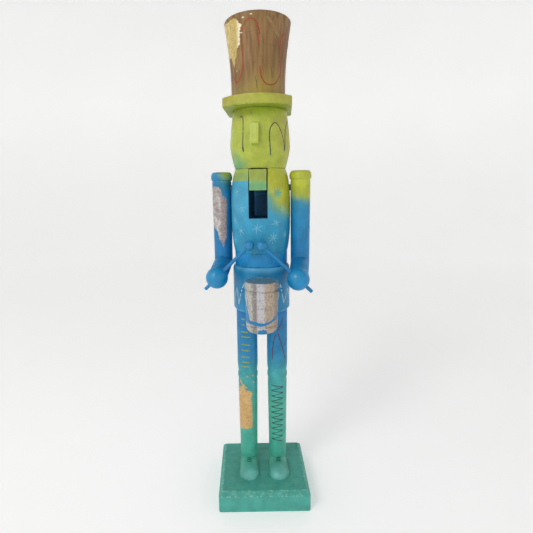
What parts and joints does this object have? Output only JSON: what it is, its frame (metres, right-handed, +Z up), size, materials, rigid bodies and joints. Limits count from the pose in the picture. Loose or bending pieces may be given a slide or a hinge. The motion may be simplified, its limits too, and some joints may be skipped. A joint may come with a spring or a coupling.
{
  "type": "nutcracker figure",
  "caption": "Tall turned-wood drummer nutcracker on a square base, with a lever-worked jaw and pegged arms holding drumsticks.",
  "frame": {"origin": "middle of the base's underside, on the surface that the figure stands on", "axes": "+Z up along the figure, -Y the way the base and legs face, +X the figure's own left"},
  "size_m": [0.1394, 0.1318, 0.6125],
  "materials": {
    "green_painted_base": "worn teal-green spray paint on wood",
    "teal_shoe": "teal spray paint on wood",
    "blue_teal_leg": "satin spray paint, blue over teal",
    "blue_paint": "satin blue spray paint on wood",
    "torso_paint": "blue spray paint that fades to lime",
    "lime_paint": "lime spray paint on wood",
    "brim_paint": "olive spray paint on wood",
    "brown_stain": "brown stain on raw wood",
    "arm_paint": "blue spray paint with lime shoulders",
    "silver_leaf": "crinkled silver leaf over blue paint",
    "raw_wood": "unpainted dowel",
    "lever_paint": "blue spray paint, rubbed at the edges",
    "steel": "plain steel",
    "blue_wire": "painted wire"
  },
  "bodies": {
    "figure": {"base_plate": "green_painted_base", "left_shoe": "teal_shoe", "right_shoe": "teal_shoe", "left_leg": "blue_teal_leg", "right_leg": "blue_teal_leg", "leg_screws": "steel", "skirt": "blue_paint", "waist": "blue_paint", "waist_dowel": "raw_wood", "torso": "torso_paint", "neck_dowels": "raw_wood", "jaw_pin": "steel", "head": "lime_paint", "nose": "lime_paint", "hat_brim": "brim_paint", "hat_crown": "brown_stain", "hat_dowel": "raw_wood", "left_shoulder_peg": "raw_wood", "right_shoulder_peg": "raw_wood", "drum": "silver_leaf", "drum_peg": "raw_wood", "drum_screw_eyes": "blue_wire"},
    "jaw": {"jaw_lever": "lever_paint", "jaw_block": "lime_paint"},
    "left_arm": {"left_arm": "arm_paint", "left_forearm": "arm_paint", "left_hand": "blue_paint", "left_drumstick": "blue_paint", "left_stick_tip": "blue_paint"},
    "right_arm": {"right_arm": "arm_paint", "right_forearm": "arm_paint", "right_hand": "blue_paint", "right_drumstick": "blue_paint", "right_stick_tip": "blue_paint"}
  },
  "joints": [
    {"name": "jaw_lever", "type": "hinge", "parent": "figure", "child": "jaw", "pos_m": [0.00368, 0.03384, 0.426], "axis": [0.9925, -0.1219, 0], "range_deg": [0, 25]},
    {"name": "left_shoulder", "type": "hinge", "parent": "figure", "child": "left_arm", "pos_m": [0.05152, 0.00309, 0.417], "axis": [-0.9848, 0.1736, 0], "range_deg": [0, 90]},
    {"name": "right_shoulder", "type": "hinge", "parent": "figure", "child": "right_arm", "pos_m": [-0.04952, 0.02091, 0.417], "axis": [-0.9848, 0.1736, 0], "range_deg": [0, 90]}
  ]
}
